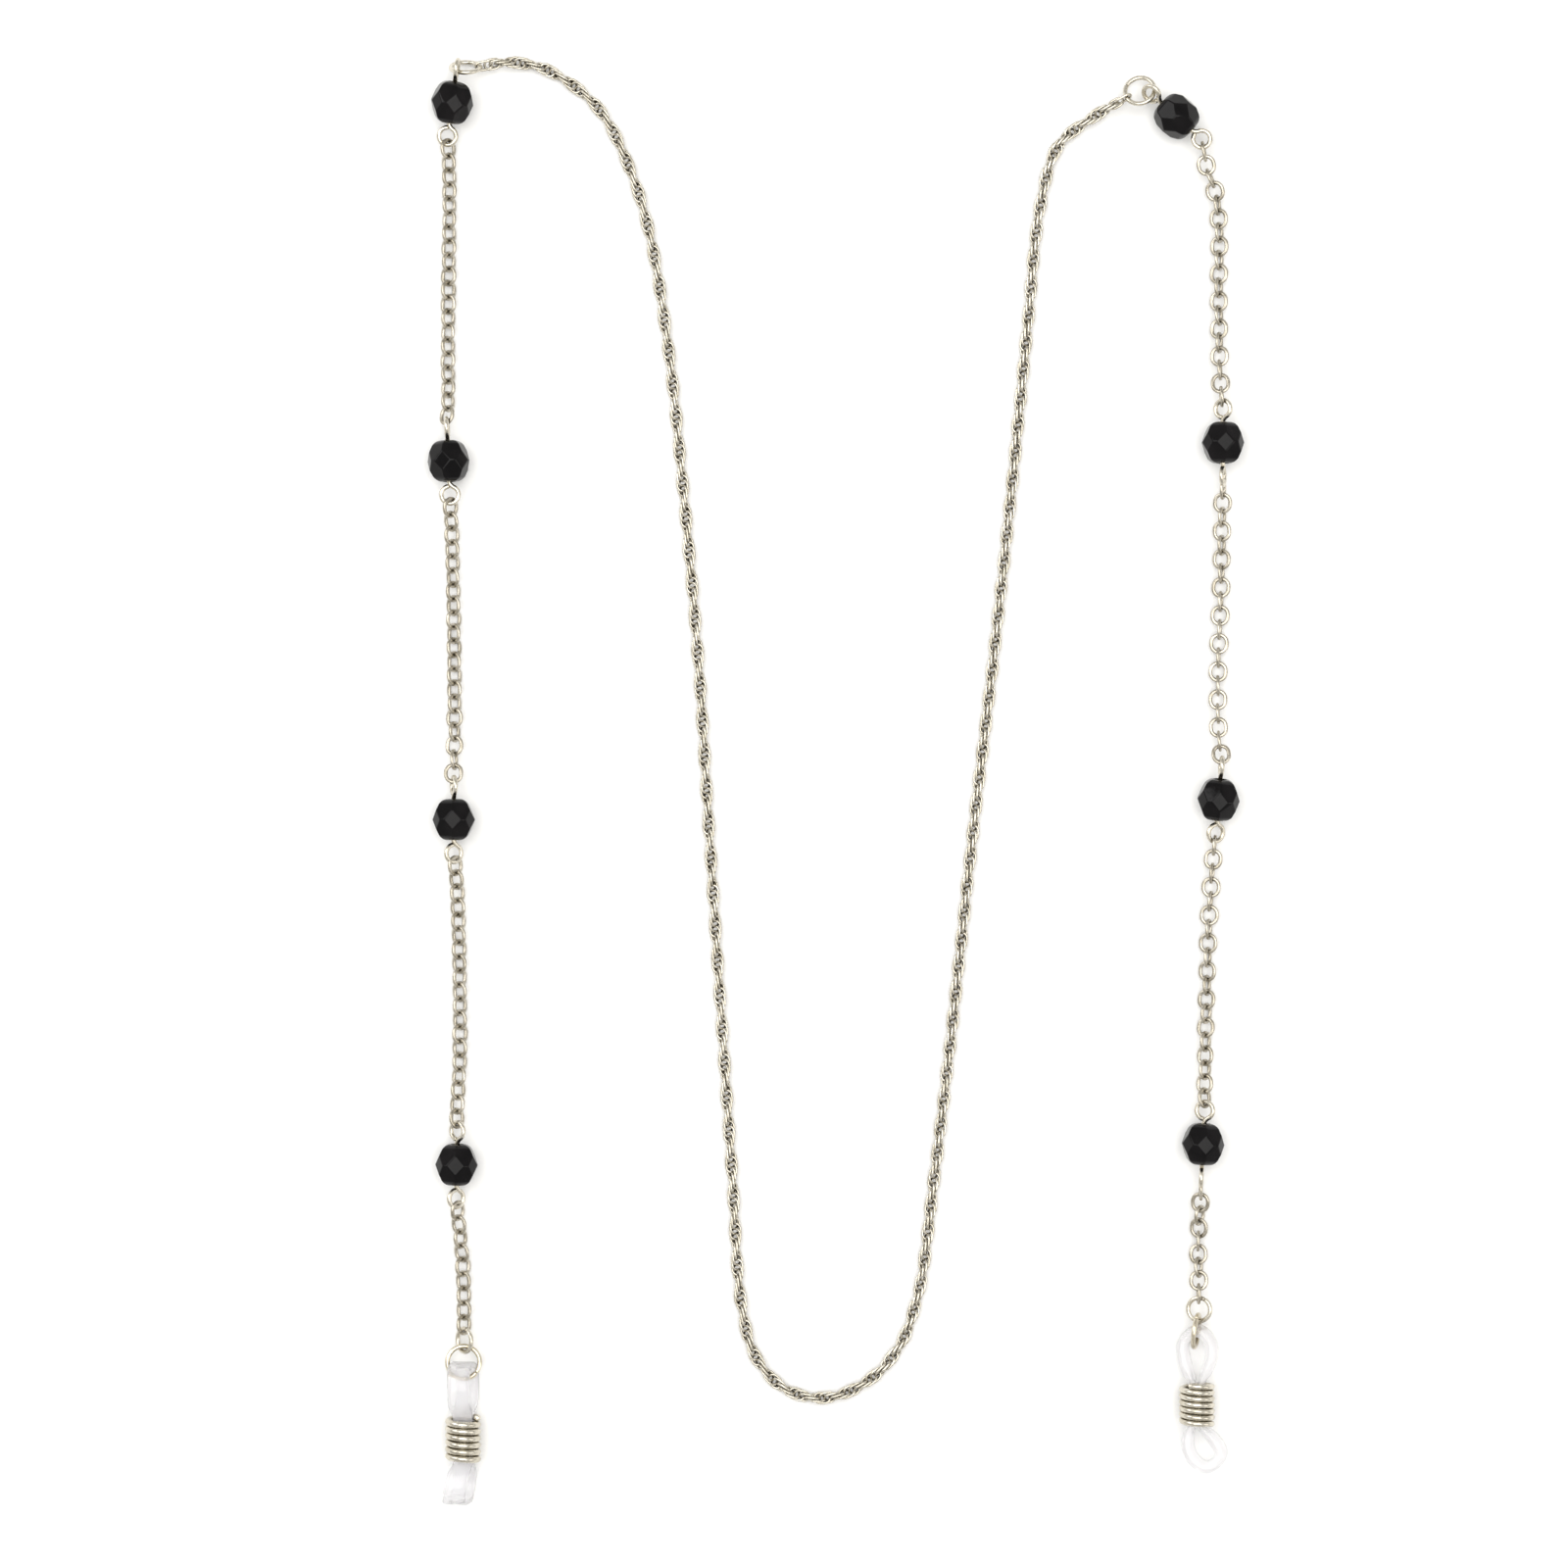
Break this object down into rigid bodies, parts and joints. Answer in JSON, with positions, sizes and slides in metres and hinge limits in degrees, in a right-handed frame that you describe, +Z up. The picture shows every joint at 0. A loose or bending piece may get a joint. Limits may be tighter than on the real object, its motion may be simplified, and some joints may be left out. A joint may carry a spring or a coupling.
{
  "type": "eyeglass chain",
  "caption": "Flexible metal neck chain for spectacles: a fine rope chain at the neck, cable-chain strands with faceted glass beads, and clear temple loops with sliding wire coils.",
  "frame": {"origin": "on the table, under the middle of the whole chain as it lies flat", "axes": "+Z up from the table, +Y towards the neck end, +X to the wearer's side with the second strand"},
  "size_m": [0.111, 0.1969, 0.0058],
  "materials": {
    "silver": "polished silver plate with a warm tone, darker in the crevices",
    "rope_silver": "polished silver plate, fine rope chain with olive-brown crevices",
    "black_glass": "opaque jet black fire-polished glass",
    "clear_vinyl": "clear flexible vinyl"
  },
  "bodies": {
    "rope": {"rope_chain": "rope_silver", "rope_end_link_left": "rope_silver", "rope_end_link_right": "rope_silver"},
    "left_top_ring": {"left_top_ring": "silver"},
    "left_pin_1": {"left_eye_pin_1": "silver"},
    "left_bead_1": {"left_bead_1": "black_glass"},
    "left_cable_1": {"left_cable_chain_1": "silver", "left_upper_end_link_1": "silver", "left_lower_end_link_1": "silver"},
    "left_pin_2": {"left_eye_pin_2": "silver"},
    "left_bead_2": {"left_bead_2": "black_glass"},
    "left_cable_2": {"left_cable_chain_2": "silver", "left_upper_end_link_2": "silver", "left_lower_end_link_2": "silver"},
    "left_pin_3": {"left_eye_pin_3": "silver"},
    "left_bead_3": {"left_bead_3": "black_glass"},
    "left_cable_3": {"left_cable_chain_3": "silver", "left_upper_end_link_3": "silver", "left_lower_end_link_3": "silver"},
    "left_pin_4": {"left_eye_pin_4": "silver"},
    "left_bead_4": {"left_bead_4": "black_glass"},
    "left_cable_4": {"left_cable_chain_4": "silver", "left_upper_end_link_4": "silver", "left_lower_end_link_4": "silver"},
    "left_small_ring": {"left_small_ring": "silver"},
    "left_large_ring": {"left_large_ring": "silver"},
    "left_temple_loop": {"left_temple_loop": "clear_vinyl"},
    "left_keeper": {"left_keeper_coil": "silver"},
    "right_top_ring": {"right_top_ring": "silver"},
    "right_pin_1": {"right_eye_pin_1": "silver"},
    "right_bead_1": {"right_bead_1": "black_glass"},
    "right_cable_1": {"right_cable_chain_1": "silver", "right_upper_end_link_1": "silver", "right_lower_end_link_1": "silver"},
    "right_pin_2": {"right_eye_pin_2": "silver"},
    "right_bead_2": {"right_bead_2": "black_glass"},
    "right_cable_2": {"right_cable_chain_2": "silver", "right_upper_end_link_2": "silver", "right_lower_end_link_2": "silver"},
    "right_pin_3": {"right_eye_pin_3": "silver"},
    "right_bead_3": {"right_bead_3": "black_glass"},
    "right_cable_3": {"right_cable_chain_3": "silver", "right_upper_end_link_3": "silver", "right_lower_end_link_3": "silver"},
    "right_pin_4": {"right_eye_pin_4": "silver"},
    "right_bead_4": {"right_bead_4": "black_glass"},
    "right_cable_4": {"right_cable_chain_4": "silver", "right_upper_end_link_4": "silver", "right_lower_end_link_4": "silver"},
    "right_small_ring": {"right_small_ring": "silver"},
    "right_large_ring": {"right_large_ring": "silver"},
    "right_temple_loop": {"right_temple_loop": "clear_vinyl"},
    "right_keeper": {"right_keeper_coil": "silver"}
  },
  "joints": [
    {"name": "left_top_ring_swing", "type": "hinge", "parent": "rope", "child": "left_top_ring", "pos_m": [-0.04825, 0.09696, 0.00197], "axis": [-0.215, 0.4735, -0.8542], "range_deg": [0, 45]},
    {"name": "left_pin_1_swing", "type": "hinge", "parent": "left_top_ring", "child": "left_pin_1", "pos_m": [-0.0513, 0.09634, 0.00389], "axis": [-0.9877, 0.1564, 0], "range_deg": [0, 60]},
    {"name": "left_bead_1_spin", "type": "hinge", "parent": "left_pin_1", "child": "left_bead_1", "pos_m": [-0.052, 0.0919, 0.00293], "axis": [0.153, 0.9661, 0.2079], "continuous": true},
    {"name": "left_cable_1_swing", "type": "hinge", "parent": "left_pin_1", "child": "left_cable_1", "pos_m": [-0.0527, 0.08746, 0.00197], "axis": [0.0325, 0.2053, -0.9781], "range_deg": [-8, 45]},
    {"name": "left_pin_2_swing", "type": "hinge", "parent": "left_cable_1", "child": "left_pin_2", "pos_m": [-0.0527, 0.0478, 0.00288], "axis": [0.999, 0.0436, 0], "range_deg": [-60, 0]},
    {"name": "left_bead_2_spin", "type": "hinge", "parent": "left_pin_2", "child": "left_bead_2", "pos_m": [-0.0525, 0.0432, 0.00288], "axis": [-0.0436, 0.999, 0], "continuous": true},
    {"name": "left_cable_2_swing", "type": "hinge", "parent": "left_pin_2", "child": "left_cable_2", "pos_m": [-0.0523, 0.0386, 0.00288], "axis": [0, 0, 1], "range_deg": [-45, 12]},
    {"name": "left_pin_3_swing", "type": "hinge", "parent": "left_cable_2", "child": "left_pin_3", "pos_m": [-0.0518, -0.0009, 0.00267], "axis": [-0.9613, 0, 0.2756], "range_deg": [0, 45]},
    {"name": "left_bead_3_spin", "type": "hinge", "parent": "left_pin_3", "child": "left_bead_3", "pos_m": [-0.0518, -0.0055, 0.00267], "axis": [0, 1, 0], "continuous": true},
    {"name": "left_cable_3_swing", "type": "hinge", "parent": "left_pin_3", "child": "left_cable_3", "pos_m": [-0.0518, -0.0101, 0.00267], "axis": [-0.5736, 0, -0.8191], "range_deg": [0, 45]},
    {"name": "left_pin_4_swing", "type": "hinge", "parent": "left_cable_3", "child": "left_pin_4", "pos_m": [-0.05132, -0.0478, 0.00267], "axis": [0.669, -0.0117, -0.7431], "range_deg": [-45, 0]},
    {"name": "left_bead_4_spin", "type": "hinge", "parent": "left_pin_4", "child": "left_bead_4", "pos_m": [-0.0514, -0.0524, 0.00267], "axis": [0.0174, 0.9998, 0], "continuous": true},
    {"name": "left_cable_4_swing", "type": "hinge", "parent": "left_pin_4", "child": "left_cable_4", "pos_m": [-0.05148, -0.057, 0.00267], "axis": [0.6427, -0.0112, 0.766], "range_deg": [-45, 0]},
    {"name": "left_small_ring_swing", "type": "hinge", "parent": "left_cable_4", "child": "left_small_ring", "pos_m": [-0.0504, -0.07635, 0.00195], "axis": [-0.766, 0, 0.6428], "range_deg": [0, 45]},
    {"name": "left_large_ring_swing", "type": "hinge", "parent": "left_small_ring", "child": "left_large_ring", "pos_m": [-0.0505, -0.07932, 0.00225], "axis": [0, -0.1392, -0.9903], "range_deg": [-45, 45]},
    {"name": "left_temple_loop_swing", "type": "hinge", "parent": "left_large_ring", "child": "left_temple_loop", "pos_m": [-0.0505, -0.0815, 0.00256], "axis": [-1, 0, 0], "range_deg": [0, 60]},
    {"name": "left_keeper_slide", "type": "slide", "parent": "left_temple_loop", "child": "left_keeper", "axis": [0, 1, 0], "range_m": [-0.0025, 0.0025], "deforming": ["left_temple_loop"]},
    {"name": "right_top_ring_swing", "type": "hinge", "parent": "rope", "child": "right_top_ring", "pos_m": [0.03965, 0.09272, 0.00218], "axis": [-0.3888, 0.8274, -0.4053], "range_deg": [0, 20]},
    {"name": "right_pin_1_swing", "type": "hinge", "parent": "right_top_ring", "child": "right_pin_1", "pos_m": [0.04298, 0.09308, 0.00288], "axis": [-0.5126, -0.5693, 0.6428], "range_deg": [0, 60]},
    {"name": "right_bead_1_spin", "type": "hinge", "parent": "right_pin_1", "child": "right_bead_1", "pos_m": [0.0464, 0.09, 0.00288], "axis": [-0.7431, 0.6691, 0], "continuous": true},
    {"name": "right_cable_1_swing", "type": "hinge", "parent": "right_pin_1", "child": "right_cable_1", "pos_m": [0.04982, 0.08692, 0.00288], "axis": [0, 0, 1], "range_deg": [-8, 45]},
    {"name": "right_pin_2_swing", "type": "hinge", "parent": "right_cable_1", "child": "right_pin_2", "pos_m": [0.0527, 0.0503, 0.00275], "axis": [0.6157, 0, -0.788], "range_deg": [-60, 0]},
    {"name": "right_bead_2_spin", "type": "hinge", "parent": "right_pin_2", "child": "right_bead_2", "pos_m": [0.0527, 0.0457, 0.00275], "axis": [0, 1, 0], "continuous": true},
    {"name": "right_cable_2_swing", "type": "hinge", "parent": "right_pin_2", "child": "right_cable_2", "pos_m": [0.0527, 0.0411, 0.00275], "axis": [0.9703, 0, 0.2419], "range_deg": [-45, 0]},
    {"name": "right_pin_3_swing", "type": "hinge", "parent": "right_cable_2", "child": "right_pin_3", "pos_m": [0.05242, 0.00173, 0.0036], "axis": [-0.9976, 0.0698, 0], "range_deg": [0, 45]},
    {"name": "right_bead_3_spin", "type": "hinge", "parent": "right_pin_3", "child": "right_bead_3", "pos_m": [0.0521, -0.0028, 0.00288], "axis": [0.0689, 0.9853, 0.1564], "continuous": true},
    {"name": "right_cable_3_swing", "type": "hinge", "parent": "right_pin_3", "child": "right_cable_3", "pos_m": [0.05178, -0.00733, 0.00216], "axis": [-0.4587, 0.1705, -0.8721], "range_deg": [0, 45]},
    {"name": "right_pin_4_swing", "type": "hinge", "parent": "right_cable_3", "child": "right_pin_4", "pos_m": [0.05024, -0.04501, 0.00275], "axis": [0.422, -0.0221, -0.9063], "range_deg": [-45, 0]},
    {"name": "right_bead_4_spin", "type": "hinge", "parent": "right_pin_4", "child": "right_bead_4", "pos_m": [0.05, -0.0496, 0.00275], "axis": [0.0523, 0.9986, 0], "continuous": true},
    {"name": "right_cable_4_swing", "type": "hinge", "parent": "right_pin_4", "child": "right_cable_4", "pos_m": [0.04976, -0.05419, 0.00275], "axis": [0.9932, -0.052, 0.1045], "range_deg": [-45, 0]},
    {"name": "right_small_ring_swing", "type": "hinge", "parent": "right_cable_4", "child": "right_small_ring", "pos_m": [0.0495, -0.07208, 0.0025], "axis": [-0.3907, 0, 0.9205], "range_deg": [0, 45]},
    {"name": "right_large_ring_swing", "type": "hinge", "parent": "right_small_ring", "child": "right_large_ring", "pos_m": [0.0491, -0.075, 0.00255], "axis": [-0.9816, 0, -0.1908], "range_deg": [0, 45]},
    {"name": "right_temple_loop_swing", "type": "hinge", "parent": "right_large_ring", "child": "right_temple_loop", "pos_m": [0.0491, -0.0772, 0.00255], "axis": [-0.1908, 0, 0.9816], "range_deg": [-40, 40]},
    {"name": "right_keeper_slide", "type": "slide", "parent": "right_temple_loop", "child": "right_keeper", "axis": [0, 1, 0], "range_m": [-0.0025, 0.0025], "deforming": ["right_temple_loop"]}
  ]
}
